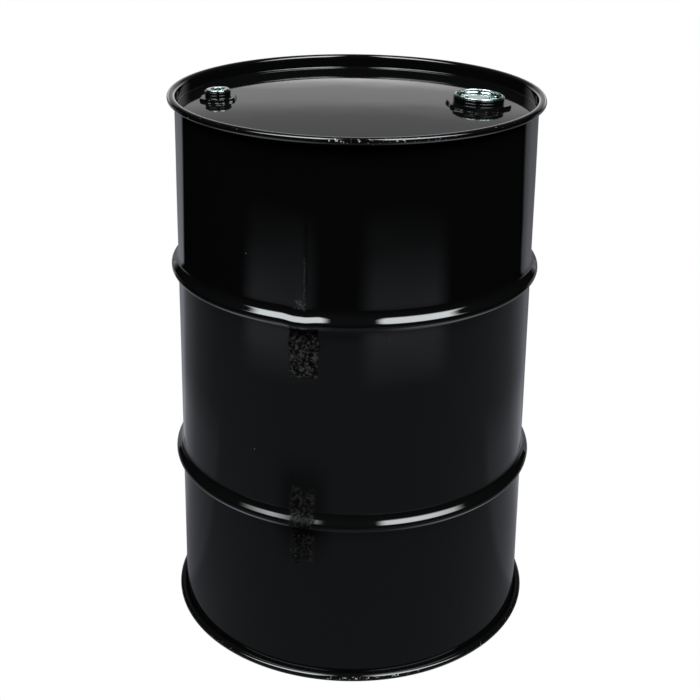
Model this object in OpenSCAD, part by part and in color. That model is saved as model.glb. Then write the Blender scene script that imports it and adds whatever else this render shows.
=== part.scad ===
// Steel oil drum, tight-head pattern: a welded shell with two rolling hoops, two pressed heads
// rolled onto it in round seams, and two threaded bungs in the top head.
// Millimetres. +Z is up, the origin is the centre of the circle the bottom chime stands on,
// and both bungs lie on the X axis.

/* [Drum] */
// Overall height, from the bottom chime to the top chime
drum_h = 876; // [840:1:920]
// Inside diameter of the shell
shell_id = 571.5; // [560:0.5:580]
// Thickness of the sheet in the shell and the heads
sheet_t = 1.2; // [0.9:0.1:1.4]

/* [Chimes] */
// Outside diameter over the rolled seams
chime_od = 596.8; // [594:0.2:604]
// Radius of the innermost turn of sheet in a rolled seam
roll_core_r = 2.2; // [1.8:0.1:2.6]
// Gap between neighbouring turns of sheet in a rolled seam
roll_gap = 0.05; // [0.03:0.01:0.1]
// Depth of the edge of a head's panel below the end of the drum
head_recess = 22.5; // [18:0.5:30]
// Height of a head's shallow crown, from the panel's edge to its centre
head_crown = 7; // [1:0.5:10]
// Inside radius of the corner between a head's panel and its wall
head_corner_r = 2.5; // [1.5:0.5:10]

/* [Rolling hoops] */
// Height of the lower hoop's crest
low_hoop_z = 270; // [230:1:300]
// Height of the upper hoop's crest
high_hoop_z = 597; // [560:1:640]
// How far a hoop stands out from the shell
hoop_out = 11; // [6:0.5:12]
// Radius of the hoop's crest, on the middle of the sheet
hoop_crest_r = 7.5; // [6.5:0.5:12]
// Radius of the tuck under the crest, on the middle of the sheet
hoop_tuck_r = 4.5; // [4:0.5:10]
// Slope of the flank above the crest, in degrees from upright
hoop_slope = 43; // [35:1:48]
// Radius of the sweep above the flank, on the middle of the sheet
hoop_sweep_r = 20; // [6:0.5:24]

/* [Side seam] */
// Angle of the welded side seam, anticlockwise from +X
seam_angle = 257; // [0:1:359]
// Width of the weld band
seam_w = 12; // [6:1:20]
// How far the weld band stands out from the sheet
seam_out = 0.3; // [0.2:0.1:0.5]

/* [Large bung] */
// Distance of the large bung from the drum's axis
large_x = 192; // [175:1:200]
// Outside diameter of the large plug's rim
large_rim_d = 76; // [72:0.5:80]
// Width across the lobes pressed round the large bung
large_lobes_d = 104; // [98:1:110]
// Angle of a lobe's tip, anticlockwise from +X
large_lobe_turn = 34.5; // [0:0.5:45]
// Height of the collar above the head panel
large_collar_h = 15; // [14:0.5:17]
// Height of the plug's lip above the head panel
large_rim_h = 17; // [16.5:0.5:18.5]

/* [Small bung] */
// Distance of the small bung from the drum's axis, on the other side
small_x = 221; // [190:1:230]
// Outside diameter of the small plug's rim
small_rim_d = 36; // [34:0.5:38]
// Width across the lobes pressed round the small bung
small_lobes_d = 60; // [57:1:64]
// Angle of a lobe's tip, anticlockwise from +X
small_lobe_turn = 22.5; // [0:0.5:45]
// Height of the collar above the head panel
small_collar_h = 15; // [14:0.5:16]
// Height of the plug's rim above the head panel
small_rim_h = 17; // [16.5:0.5:18.5]

/* [Hidden] */

black_enamel = [0.03, 0.03, 0.035];
bare_steel = [0.45, 0.45, 0.46];
zinc = [0.78, 0.82, 0.82];
rubber = [0.08, 0.08, 0.08];
compound = [0.55, 0.5, 0.42];

arc_step = 12;               // degrees between points on a pressed radius
fit_gap = 0.05;              // gap between pieces that are pressed together
weld_end_z = 16;             // the side weld shows from here to as far below the drum's top

// A rolled seam, seen in section at the top of the drum. The turns wind round two centres,
// one layer apart in height, so that every turn keeps the same gap to the next.
layer = sheet_t + roll_gap;
shell_r = shell_id / 2 + sheet_t / 2;               // middle of the shell's sheet
head_wall_r = shell_r - layer;                      // middle of the head's wall
roll_r = roll_core_r + 3 * layer;                   // outermost turn, on the inner centre
roll_in = [head_wall_r + roll_r, drum_h - roll_r - sheet_t / 2];
roll_out = [chime_od / 2 - roll_r + layer - sheet_t / 2, roll_in.y + layer];
bead_r = roll_core_r - sheet_t / 2 - 2 * fit_gap;   // sealing compound in the seam's core

// The top head's panel: a shallow dome that meets the rounded corner at one tangent
corner_mid_r = head_corner_r + sheet_t / 2;
corner_mid = [head_wall_r - corner_mid_r, drum_h - head_recess + head_corner_r];
dome_slope = 2 * atan(head_crown / corner_mid.x);   // at its edge
dome_r = corner_mid.x / sin(dome_slope) - corner_mid_r + sheet_t / 2;    // of its outer face
dome_z = corner_mid.y - corner_mid.x / tan(dome_slope);                  // height of its centre
dome_steps = 8;                                     // straight runs from its middle to its edge

// British pipe threads, flank angle taken up in the crest and root widths
LARGE_THREAD = [59.614, 2.309];      // major diameter and pitch of G2
SMALL_THREAD = [26.441, 1.814];      // major diameter and pitch of G3/4
thread_depth = 0.64;                 // of the pitch
thread_gap = 0.15;                   // radial, at the crests and at the roots
crest_share = 0.095;                 // half width of a thread's crest, of the pitch
root_share = 0.41;                   // half width of a thread's root, of the pitch
thread_bury = 0.4;                   // how deep a thread's root runs into its wall
thread_inset = 0.1;                  // from the ends of a flange's threaded wall to its thread
turn_steps = 40;                     // straight runs in one turn of a thread

// A bung, in its own frame: the origin is on its axis, at the outer face of the domed panel
lobes = 8;
lobe_step = 360 / lobes;
lobe_wave = 0.085;                   // depth of the lobes, of their radius
plate_gap = 0.3;                     // between a flange's plate and the seat pressed round it
emboss_h = 4.5;                      // height of the raised seat round a bung
flange_base_z = -1;                  // underside of a flange
flange_gasket_t = 1.2;
flange_base_top = emboss_h - sheet_t - flange_gasket_t - 2 * fit_gap;
rim_gap = 0.35;                      // radial, between a plug's rim and its flange
neck_wall = 1.1;                     // of a flange, round its plug's rim
collar_wall = 0.9;                   // of the head's metal, drawn thin round a neck
ridge_r = 0.8;                       // of the lower ring ridge on a collar
curl_r = 1.3;                        // of the curl that closes a collar over its neck
lip_gap = 0.2;                       // how far the curl's lip stands back from the flange's bore
flange_gasket_w = 5.5;
collar_foot = 1.5;                   // width and height of the fillet at a collar's foot
ridge_drop = 0.5;                    // of the ridge's middle, below the collar's middle

// A plug, in its bung's frame
large_seat_z = 8;                    // where the large plug's gasket rests
small_seat_z = 11.5;
large_gasket_t = 1.9;
small_gasket_t = 1.5;
gasket_inset = 0.2;                  // of a plug's gasket, from the plug's rim
gasket_clear = 0.6;                  // of a plug's gasket, from the thread
large_skirt_z = -3;                  // bottom of the plugs' threaded skirts
small_skirt_z = -1.5;
large_skirt_wall = 2.6;
small_skirt_wall = 1.6;
large_floor_t = 2;                   // of the cup's floor
small_floor_t = 2;
small_recess_z = 7.5;                // top of the small plug's floor
plug_chamfer = 0.8;
lip_w = 2.2;                         // width of the large plug's rolled lip
large_lug = [12, 6, 3.2];            // length, width and height of a wrench lug
large_lug_x = 16;                    // from the plug's axis to the lug
small_lug = [4, 4, 5];
lug_root = 1;                        // how far a lug runs into the floor

// A run of points on a circle, each with the unit normal on the right of the way it travels.
// side is 1 where the centre is on the left of that way, and -1 where it is on the right.
function arc(centre, r, from, to, side) =
    let (n = ceil(abs(to - from) / arc_step))
    [for (i = [0:n]) let (a = from + (to - from) * i / n)
        [centre.x + r * cos(a), centre.y + r * sin(a), side * cos(a), side * sin(a)]];

// The same run turned upside down about half the drum's height, and travelled backwards
function flipped(path) =
    [for (i = [len(path) - 1:-1:0]) [path[i][0], drum_h - path[i][1], path[i][2], -path[i][3]]];

// Outline of a sheet between two distances from the middle of the sheet, out being the right side
function sheet_outline(path, out, back) = concat(
    [for (p = path) [p[0] + out * p[2], p[1] + out * p[3]]],
    [for (i = [len(path) - 1:-1:0]) [path[i][0] - back * path[i][2], path[i][1] - back * path[i][3]]]);

// The shell's way into the top seam
shell_roll = concat(
    arc(roll_in, roll_r - layer, 180, 90, -1),
    arc(roll_out, roll_r - 2 * layer, 90, -90, -1),
    arc(roll_in, roll_r - 3 * layer, -90, -200, -1));

// A head's way into the top seam
head_roll = concat(
    arc(roll_in, roll_r, 180, 90, -1),
    arc(roll_out, roll_r - layer, 90, -90, -1),
    arc(roll_in, roll_r - 2 * layer, -90, -270, -1),
    arc(roll_out, roll_r - 3 * layer, 90, 0, -1));

// A rolling hoop: tuck, crest, straight flank and sweep, each meeting the next at one tangent
function hoop(z) =
    let (crest = [shell_r + hoop_out - hoop_crest_r, z],
         tuck_sum = hoop_tuck_r + hoop_crest_r,
         sweep_sum = hoop_sweep_r + hoop_crest_r,
         tuck_turn = acos((tuck_sum - hoop_out) / tuck_sum),
         flank = (hoop_out - sweep_sum * (1 - cos(hoop_slope))) / sin(hoop_slope),
         sweep_z = z + sweep_sum * sin(hoop_slope) + flank * cos(hoop_slope))
    concat(
        arc([shell_r + hoop_tuck_r, z - tuck_sum * sin(tuck_turn)], hoop_tuck_r, 180, 180 - tuck_turn, -1),
        arc(crest, hoop_crest_r, -tuck_turn, hoop_slope, 1),
        arc([shell_r + hoop_sweep_r, sweep_z], hoop_sweep_r, 180 + hoop_slope, 180, -1));

shell_path = concat(flipped(shell_roll), hoop(low_hoop_z), hoop(high_hoop_z), shell_roll);

// The shell's wall between the chimes, where its side weld shows
wall_path = concat([[shell_r, weld_end_z, 1, 0]], hoop(low_hoop_z), hoop(high_hoop_z),
                   [[shell_r, drum_h - weld_end_z, 1, 0]]);
seam_turn = seam_w / shell_r * 180 / PI;

dome_path = [for (i = [0:dome_steps - 1])
    let (a = dome_slope * i / dome_steps, r = dome_r - sheet_t / 2)
    [r * sin(a), dome_z + r * cos(a), -sin(a), -cos(a)]];
head_path = concat(
    dome_path,
    arc(corner_mid, corner_mid_r, -90 - dome_slope, 0, 1),
    head_roll);

// A plate with eight rounded lobes, as pressed round a bung so that its flange can't turn
module lobed_plate(tip_r, h, turn) {
    rotate(turn - lobe_step / 2)
        linear_extrude(h)
            polygon([for (a = [0:5:355])
                let (r = tip_r * (1 - lobe_wave * (1 + cos(lobes * a)) / 2))
                [r * cos(a), r * sin(a)]]);
}

// A right-handed thread's ridge, centred on height z where it starts. inner and outer each hold
// a radius and the ridge's half width there.
module thread_ridge(inner, outer, pitch, z, turns) {
    steps = ceil(turns * turn_steps);
    section = [[outer[0], -outer[1]], [inner[0], -inner[1]], [inner[0], inner[1]], [outer[0], outer[1]]];
    corners = len(section);
    points = [for (i = [0:steps], p = section)
        let (a = 360 * i / turn_steps)
        [p.x * cos(a), p.x * sin(a), z + pitch * i / turn_steps + p.y]];
    sides = [for (i = [0:steps - 1], k = [0:corners - 1])
        let (a = i * corners + k, b = i * corners + (k + 1) % corners)
        each [[a, a + corners, b], [b, a + corners, b + corners]]];
    ends = [[0, 1, 2, 3], [for (k = [corners - 1:-1:0]) steps * corners + k]];
    polyhedron(points = points, faces = concat(sides, ends));
}

function thread_r(thread) = thread[0] / 2;
function thread_h(thread) = thread_depth * thread[1];
function plug_root_r(thread) = thread_r(thread) - thread_h(thread) - thread_gap;
function thread_start(thread) = flange_base_z + thread_inset + root_share * thread[1];
function thread_turns(thread, seat_z) =
    (seat_z - flange_base_z - 2 * thread_inset) / thread[1] - 2 * root_share;
function neck_r(rim_d) = rim_d / 2 + rim_gap + neck_wall;

// A flange: a lobed base that can't turn in the head, a neck and an internal thread
module flange(thread, rim_d, lobes_d, lobe_turn, neck_h, seat_z) {
    pitch = thread[1];
    root_r = thread_r(thread) + thread_gap;
    crest_r = thread_r(thread) - thread_h(thread) + thread_gap;
    difference() {
        union() {
            translate([0, 0, flange_base_z])
                lobed_plate(lobes_d / 2 - sheet_t - plate_gap, flange_base_top - flange_base_z, lobe_turn);
            translate([0, 0, flange_base_z])
                cylinder(h = neck_h - flange_base_z, r = neck_r(rim_d), $fn = 96);
        }
        translate([0, 0, flange_base_z - 1])
            cylinder(h = neck_h, r = root_r, $fn = 96);
        translate([0, 0, seat_z])
            cylinder(h = neck_h, r = rim_d / 2 + rim_gap, $fn = 96);
    }
    thread_ridge([crest_r, crest_share * pitch], [root_r + thread_bury, root_share * pitch],
                 pitch, thread_start(thread), thread_turns(thread, seat_z));
}

// A plug's external thread, meshed half a pitch from the flange's
module plug_thread(thread, seat_z) {
    pitch = thread[1];
    thread_ridge([plug_root_r(thread) - thread_bury, root_share * pitch],
                 [thread_r(thread) - thread_gap, crest_share * pitch],
                 pitch, thread_start(thread) - pitch / 2, thread_turns(thread, seat_z) + 0.4);
}

// A flat ring
module ring(outer_r, inner_r, z, h) {
    translate([0, 0, z])
        rotate_extrude($fn = 96)
            translate([inner_r, 0])
                square([outer_r - inner_r, h]);
}

module flange_gasket(rim_d) {
    ring(neck_r(rim_d) + flange_gasket_w, neck_r(rim_d) + fit_gap,
         flange_base_top + fit_gap, flange_gasket_t);
}

module plug_gasket(rim_d, thread, seat_z, thickness) {
    ring(rim_d / 2 - gasket_inset, thread_r(thread) + gasket_clear, seat_z + fit_gap, thickness);
}

// What a bung adds to the head: a raised lobed seat and a collar with two ring ridges
module bung_collar(rim_d, lobes_d, lobe_turn, collar_h) {
    bore_r = neck_r(rim_d) + fit_gap;
    waist_r = bore_r + collar_wall;
    curl_x = waist_r + ridge_r - curl_r;
    ridge_z = (collar_h + emboss_h) / 2 - ridge_drop;
    foot_z = emboss_h - sheet_t / 2;
    lip_r = rim_d / 2 + rim_gap + lip_gap;
    translate([0, 0, -sheet_t])
        lobed_plate(lobes_d / 2, emboss_h + sheet_t, lobe_turn);
    rotate_extrude($fn = 96)
        polygon(concat(
            [[bore_r, foot_z], [waist_r + collar_foot, foot_z],
             [waist_r + collar_foot / 4, emboss_h + collar_foot / 4], [waist_r, emboss_h + collar_foot]],
            [for (a = [-90:30:90]) [waist_r + ridge_r * cos(a), ridge_z + ridge_r * sin(a)]],
            [for (a = [-90:22.5:90]) [curl_x + curl_r * cos(a), collar_h - curl_r + curl_r * sin(a)]],
            [[lip_r, collar_h], [lip_r, collar_h - sheet_t], [bore_r, collar_h - sheet_t]]));
}

// What a bung cuts out of the head: the room for the flange's base and neck
module bung_room(rim_d, lobes_d, lobe_turn, collar_h) {
    translate([0, 0, -sheet_t - 1])
        lobed_plate(lobes_d / 2 - sheet_t, emboss_h + 1, lobe_turn);
    cylinder(h = collar_h - sheet_t, r = neck_r(rim_d) + fit_gap, $fn = 96);
    cylinder(h = collar_h + 1, r = rim_d / 2 + rim_gap + lip_gap, $fn = 96);
}

// A bung's frame stands square on the domed panel, at this distance along the X axis
module at_bung(x) {
    translate([0, 0, dome_z])
        rotate([0, asin(x / dome_r), 0])
            translate([0, 0, dome_r])
                children();
}

module at_large() {
    at_bung(large_x) children();
}

module at_small() {
    at_bung(-small_x) children();
}

// The shell: one sheet, and the band of its side weld standing slightly out of it
module body_shell() {
    color(black_enamel) {
        rotate_extrude($fn = 180)
            polygon(sheet_outline(shell_path, sheet_t / 2, sheet_t / 2));
        rotate(seam_angle - seam_turn / 2)
            rotate_extrude(angle = seam_turn, $fn = 180)
                polygon(sheet_outline(wall_path, sheet_t / 2 + seam_out, 0));
    }
}

module plain_head() {
    rotate_extrude($fn = 180)
        polygon(sheet_outline(head_path, sheet_t / 2, sheet_t / 2));
}

module top_head() {
    color(black_enamel)
        difference() {
            union() {
                plain_head();
                at_large() bung_collar(large_rim_d, large_lobes_d, large_lobe_turn, large_collar_h);
                at_small() bung_collar(small_rim_d, small_lobes_d, small_lobe_turn, small_collar_h);
            }
            at_large() bung_room(large_rim_d, large_lobes_d, large_lobe_turn, large_collar_h);
            at_small() bung_room(small_rim_d, small_lobes_d, small_lobe_turn, small_collar_h);
        }
}

module bottom_head() {
    color(black_enamel)
        translate([0, 0, drum_h])
            mirror([0, 0, 1])
                plain_head();
}

// Sealing compound, squeezed into the open core of a rolled seam
module seam_bead() {
    rotate_extrude($fn = 180)
        polygon([for (p = concat(arc(roll_in, bead_r, 90, 270, 1),
                                 arc([roll_out.x, roll_in.y], bead_r, -90, 90, 1)))
                    [p[0], p[1]]]);
}

module top_seam_compound() {
    color(compound) seam_bead();
}

module bottom_seam_compound() {
    color(compound)
        translate([0, 0, drum_h])
            mirror([0, 0, 1])
                seam_bead();
}

module large_flange() {
    color(bare_steel)
        at_large()
            flange(LARGE_THREAD, large_rim_d, large_lobes_d, large_lobe_turn,
                   large_collar_h - sheet_t - fit_gap, large_seat_z);
}

module large_flange_gasket() {
    color(rubber) at_large() flange_gasket(large_rim_d);
}

// The large plug: a shallow cup with two wrench lugs on its floor, over a threaded skirt
module large_plug() {
    rim_r = large_rim_d / 2;
    skirt_r = plug_root_r(LARGE_THREAD);
    bore_r = skirt_r - large_skirt_wall;
    under_z = large_seat_z + large_gasket_t + 2 * fit_gap;
    floor_z = under_z + large_floor_t;
    lip_r = lip_w / 2;
    cup_r = rim_r - lip_w;
    color(zinc)
        at_large() {
            rotate_extrude($fn = 96)
                polygon(concat(
                    [[0, under_z], [bore_r, under_z], [bore_r, large_skirt_z],
                     [skirt_r - plug_chamfer, large_skirt_z], [skirt_r, large_skirt_z + plug_chamfer],
                     [skirt_r, under_z], [rim_r - plug_chamfer, under_z], [rim_r, under_z + plug_chamfer]],
                    [for (a = [0:22.5:180]) [rim_r - lip_r + lip_r * cos(a),
                                             large_rim_h - lip_r + lip_r * sin(a)]],
                    [[cup_r, floor_z + plug_chamfer], [cup_r - plug_chamfer, floor_z], [0, floor_z]]));
            plug_thread(LARGE_THREAD, large_seat_z);
            lug_pair(large_lug, large_lug_x, floor_z);
        }
}

// Two wrench lugs, standing on a plug's floor on either side of its axis
module lug_pair(size, x, floor_z) {
    for (side = [0, 180])
        rotate(side)
            translate([x, -size.y / 2, floor_z - lug_root])
                cube([size.x, size.y, size.z + lug_root]);
}

module large_plug_gasket() {
    color(rubber)
        at_large()
            plug_gasket(large_rim_d, LARGE_THREAD, large_seat_z, large_gasket_t);
}

module small_flange() {
    color(bare_steel)
        at_small()
            flange(SMALL_THREAD, small_rim_d, small_lobes_d, small_lobe_turn,
                   small_collar_h - sheet_t - fit_gap, small_seat_z);
}

module small_flange_gasket() {
    color(rubber) at_small() flange_gasket(small_rim_d);
}

// The small plug: a flat rim round a deep recess with two wrench lugs
module small_plug() {
    rim_r = small_rim_d / 2;
    skirt_r = plug_root_r(SMALL_THREAD);
    recess_r = skirt_r - small_skirt_wall;
    bore_r = recess_r - plug_chamfer;
    edge_r = recess_r + plug_chamfer;
    under_z = small_seat_z + small_gasket_t + 2 * fit_gap;
    color(zinc)
        at_small() {
            rotate_extrude($fn = 96)
                polygon([[0, small_recess_z - small_floor_t], [bore_r, small_recess_z - small_floor_t],
                         [bore_r, small_skirt_z], [skirt_r - plug_chamfer, small_skirt_z],
                         [skirt_r, small_skirt_z + plug_chamfer], [skirt_r, under_z],
                         [rim_r - plug_chamfer, under_z], [rim_r, under_z + plug_chamfer],
                         [rim_r, small_rim_h - plug_chamfer], [rim_r - plug_chamfer, small_rim_h],
                         [edge_r, small_rim_h], [recess_r, small_rim_h - plug_chamfer],
                         [recess_r, small_recess_z], [0, small_recess_z]]);
            plug_thread(SMALL_THREAD, small_seat_z);
            lug_pair(small_lug, recess_r - small_lug.x + lug_root / 2, small_recess_z);
        }
}

module small_plug_gasket() {
    color(rubber)
        at_small()
            plug_gasket(small_rim_d, SMALL_THREAD, small_seat_z, small_gasket_t);
}

body_shell();
top_head();
bottom_head();
top_seam_compound();
bottom_seam_compound();
large_flange();
large_flange_gasket();
large_plug();
large_plug_gasket();
small_flange();
small_flange_gasket();
small_plug();
small_plug_gasket();
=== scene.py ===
import math

import bpy
import numpy as np
from mathutils import Matrix, Vector, geometry, noise


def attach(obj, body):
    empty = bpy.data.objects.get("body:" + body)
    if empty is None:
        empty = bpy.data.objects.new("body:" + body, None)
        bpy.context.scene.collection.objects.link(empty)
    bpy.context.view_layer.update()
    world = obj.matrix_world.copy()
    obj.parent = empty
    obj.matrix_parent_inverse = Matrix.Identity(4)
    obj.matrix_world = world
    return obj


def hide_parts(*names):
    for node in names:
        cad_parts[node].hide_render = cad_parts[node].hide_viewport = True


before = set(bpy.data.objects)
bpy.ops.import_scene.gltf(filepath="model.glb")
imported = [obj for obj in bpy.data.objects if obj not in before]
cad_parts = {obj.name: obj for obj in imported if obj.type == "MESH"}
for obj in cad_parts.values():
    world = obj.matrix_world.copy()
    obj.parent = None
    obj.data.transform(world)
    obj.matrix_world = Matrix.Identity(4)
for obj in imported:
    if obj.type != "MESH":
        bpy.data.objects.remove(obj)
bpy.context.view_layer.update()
scene = bpy.context.scene

MM = 0.001
CREASE = 40                    # an edge bent by more degrees than this is shaded sharp

# ---------------------------------------------------------------- sizes, as in the CAD source

DRUM_H = 876
SHEET = 1.2
FIT_GAP = 0.05                 # between pieces that touch
SHELL_R = 571.5 / 2 + SHEET / 2     # middle of the shell's sheet
CHIME_R = 596.8 / 2
ROLL_CORE_R = 2.2
LAYER = SHEET + FIT_GAP        # sheet and gap in a rolled seam
HEAD_RECESS = 22.5             # from the chime down to a panel's edge
HEAD_CROWN = 7                 # from a panel's edge up to its centre
CORNER_R = 2.5                 # inside radius, panel to wall
HOOPS = (270, 597)
HOOP_OUT, HOOP_CREST_R, HOOP_TUCK_R, HOOP_SWEEP_R = 11, 7.5, 4.5, 20
HOOP_SLOPE = 43                # of the flank above the crest, from upright
SEAM_ANGLE = 257               # of the side weld
HOOP_SAG = 2.5                 # of the upper hoop where the weld crosses it
WELD_END = 16                  # the weld shows between this and DRUM_H less this
BEAD_H = 0.3                   # of the weld's bead

HEAD_WALL_R = SHELL_R - LAYER
ROLL_R = ROLL_CORE_R + 3 * LAYER
ROLL_IN = np.array([HEAD_WALL_R + ROLL_R, DRUM_H - ROLL_R - SHEET / 2])
ROLL_OUT = np.array([CHIME_R - ROLL_R + LAYER - SHEET / 2, ROLL_IN[1] + LAYER])

# A head's panel is a shallow dome: its slope at the edge, its outer face's radius, the height of
# its centre, and the radius where it meets the corner.
CORNER_MID_R = CORNER_R + SHEET / 2
CORNER_MID = np.array([HEAD_WALL_R - CORNER_MID_R, DRUM_H - HEAD_RECESS + CORNER_R])
DOME_SLOPE = 2 * math.atan(HEAD_CROWN / CORNER_MID[0])
DOME_R = CORNER_MID[0] / math.sin(DOME_SLOPE) - CORNER_MID_R + SHEET / 2
DOME_Z = CORNER_MID[1] - CORNER_MID[0] / math.tan(DOME_SLOPE)
PANEL_R = (DOME_R - SHEET / 2) * math.sin(DOME_SLOPE)

EMBOSS_H = 4.5                 # raised seat round a bung
SEAT_MARGIN = 9.5              # from a seat's lobes to where the plain panel starts
LOBES = 8
LOBE_WAVE = 0.085
RIM_GAP, NECK_WALL, COLLAR_WALL = 0.35, 1.1, 0.9
RIDGE_R, CURL_R, LIP_GAP = 0.8, 1.3, 0.2

THREAD_DEPTH, THREAD_GAP = 0.64, 0.15
CREST_SHARE, ROOT_SHARE, THREAD_INSET, FLANGE_BASE = 0.095, 0.41, 0.1, -1

LARGE_FLOOR_T = 2              # of the large plug's cup
LARGE_SKIRT_WALL, SMALL_SKIRT_WALL = 2.6, 1.6
LARGE_LIP_W = 2.2
SMALL_RECESS_Z = 7.5
GASKET_INSET, GASKET_CLEAR = 0.2, 0.6    # from its plug's rim and from the thread


class Bung:
    """Sizes of one bung. Its frame stands square on the domed panel, with its origin on the outer face.
    foot is the fillet at its collar's foot, and edge how far the seat's edge slopes in and out."""

    def __init__(self, x, rim_d, lobes_d, lobe_turn, collar_h, rim_h, seat_z, gasket_t,
                 thread, skirt_z, foot, edge):
        self.x, self.rim_r, self.lobes_r, self.lobe_turn = x, rim_d / 2, lobes_d / 2, lobe_turn
        self.collar_h, self.rim_h, self.seat_z, self.gasket_t = collar_h, rim_h, seat_z, gasket_t
        self.thread_r, self.pitch = thread[0] / 2, thread[1]
        self.skirt_z, self.foot, self.edge = skirt_z, foot, edge
        self.bore_r = self.rim_r + RIM_GAP + NECK_WALL + FIT_GAP
        self.waist_r = self.bore_r + COLLAR_WALL
        self.foot_r = self.waist_r + foot
        self.under_z = seat_z + gasket_t + 2 * FIT_GAP
        self.skirt_r = self.thread_r - THREAD_DEPTH * self.pitch - THREAD_GAP

    def placed(self, points):
        """Points of the bung's frame, in the drum's frame."""
        t = math.asin(self.x / DOME_R)
        u, v, w = points[:, 0], points[:, 1], points[:, 2] + DOME_R
        return np.stack([u * math.cos(t) + w * math.sin(t), v,
                         w * math.cos(t) - u * math.sin(t) + DOME_Z], 1)

    def seat_edge(self, angle):
        """Radius of the pressed seat's edge at an angle in radians."""
        wave = (1 - np.cos(LOBES * (angle - math.radians(self.lobe_turn)))) / 2
        return self.lobes_r * (1 - LOBE_WAVE * wave)


LARGE = Bung(192, 76, 104, 34.5, 15, 17, 8, 1.9, (59.614, 2.309), -3, 0.6, (0.5, 0.4))
SMALL = Bung(-221, 36, 60, 22.5, 15, 17, 11.5, 1.5, (26.441, 1.814), -1.5, 1.2, (0.9, 0.6))

# ---------------------------------------------------------------- geometry helpers


def arc(centre, r, start, end, side, step=6):
    """Points on a circle, each with the unit normal on the right of the way it travels."""
    count = math.ceil(abs(end - start) / step)
    a = np.radians(np.linspace(start, end, count + 1))
    normal = np.stack([np.cos(a), np.sin(a)], 1)
    return np.hstack([np.asarray(centre, float) + r * normal, side * normal])


def flipped(path):
    """The same path turned upside down about half the drum's height, travelled backwards."""
    turned = path[::-1].copy()
    turned[:, 1] = DRUM_H - turned[:, 1]
    turned[:, 3] = -turned[:, 3]
    return turned


def filled(path, step):
    """The path with its long straight runs cut into steps of about this length."""
    rows = [path[0]]
    for a, b in zip(path, path[1:]):
        pieces = max(1, round(np.hypot(*(b - a)[:2]) / step))
        rows += [a + (b - a) * i / pieces for i in range(1, pieces + 1)]
    return np.array(rows)


def sheet_sides(path, out=SHEET / 2, back=SHEET / 2):
    """The two faces of a sheet along a path through its middle, the right-hand one first."""
    return path[:, :2] + out * path[:, 2:], path[:, :2] - back * path[:, 2:]


def smoothstep(x, low, high):
    t = np.clip((x - low) / (high - low), 0, 1)
    return t * t * (3 - 2 * t)


def ring_angles(count):
    return np.arange(count) * 2 * math.pi / count


def soft_noise(points, scale, seed):
    """Smooth noise between about -1 and 1 at each point, with features about scale millimetres wide."""
    shift = Vector((seed * 17.3, seed * 5.1, seed * 11.7))
    return np.array([noise.noise(Vector(p) / scale + shift) for p in points])


class Build:
    """Collects the points and faces of one piece."""

    def __init__(self):
        self.points, self.faces, self.count = [], [], 0

    def add(self, points):
        """Adds points and gives the number of the first."""
        first = self.count
        self.points.append(np.asarray(points, float))
        self.count += len(points)
        return first

    def strip(self, a, b):
        """Joins two closed rings of equal length with quads."""
        n = len(a)
        self.faces += [(a[i], a[(i + 1) % n], b[(i + 1) % n], b[i]) for i in range(n)]

    def ring(self, r, z, angles, place=None):
        """Adds a ring of points about the vertical axis, moved by place. Gives its point numbers."""
        r = r + np.zeros(len(angles))
        points = np.stack([r * np.cos(angles), r * np.sin(angles), z + np.zeros(len(angles))], 1)
        first = self.add(place(points) if place else points)
        return list(range(first, first + len(angles)))

    def rings(self, profile, angles, place=None):
        """Adds a ring for each radius and height, joined in turn. Gives the lists of point numbers."""
        made = []
        for r, z in profile:
            made.append(self.ring(r, z, angles, place))
            if len(made) > 1:
                self.strip(made[-2], made[-1])
        return made

    def pole(self, ring, point):
        """Closes a ring with a fan to one point."""
        tip = self.add([point])
        self.faces += [(ring[i], ring[(i + 1) % len(ring)], tip) for i in range(len(ring))]

    def array(self):
        return np.concatenate(self.points)


def piece(name, build, material, body, nodes=()):
    """Turns a build into a Blender piece with its faces outward."""
    points = build.array()
    tri = np.array([(f[0], f[i], f[i + 1]) for f in build.faces for i in range(1, len(f) - 1)])
    a, b, c = points[tri[:, 0]], points[tri[:, 1]], points[tri[:, 2]]
    inside_out = np.einsum("ij,ij->", a, np.cross(b, c)) < 0
    faces = [f[::-1] for f in build.faces] if inside_out else build.faces
    mesh = bpy.data.meshes.new(name)
    mesh.from_pydata((points * MM).tolist(), [], faces)
    mesh.polygons.foreach_set("use_smooth", [True] * len(mesh.polygons))
    mesh.set_sharp_from_angle(angle=math.radians(CREASE))
    mesh.materials.append(material)
    obj = bpy.data.objects.new(name, mesh)
    scene.collection.objects.link(obj)
    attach(obj, body)
    if nodes:
        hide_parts(*nodes)


# ---------------------------------------------------------------- shader helpers


class Value:
    """A node's output that takes part in arithmetic, so that a shader reads as a formula."""

    def __init__(self, shader, socket):
        self.shader, self.socket = shader, socket

    def __add__(self, other):
        return self.shader.math("ADD", self, other)

    def __sub__(self, other):
        return self.shader.math("SUBTRACT", self, other)

    def __rsub__(self, other):
        return self.shader.math("SUBTRACT", other, self)

    def __mul__(self, other):
        return self.shader.math("MULTIPLY", self, other)

    def __truediv__(self, other):
        return self.shader.math("DIVIDE", self, other)

    __radd__ = __add__
    __rmul__ = __mul__


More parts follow.
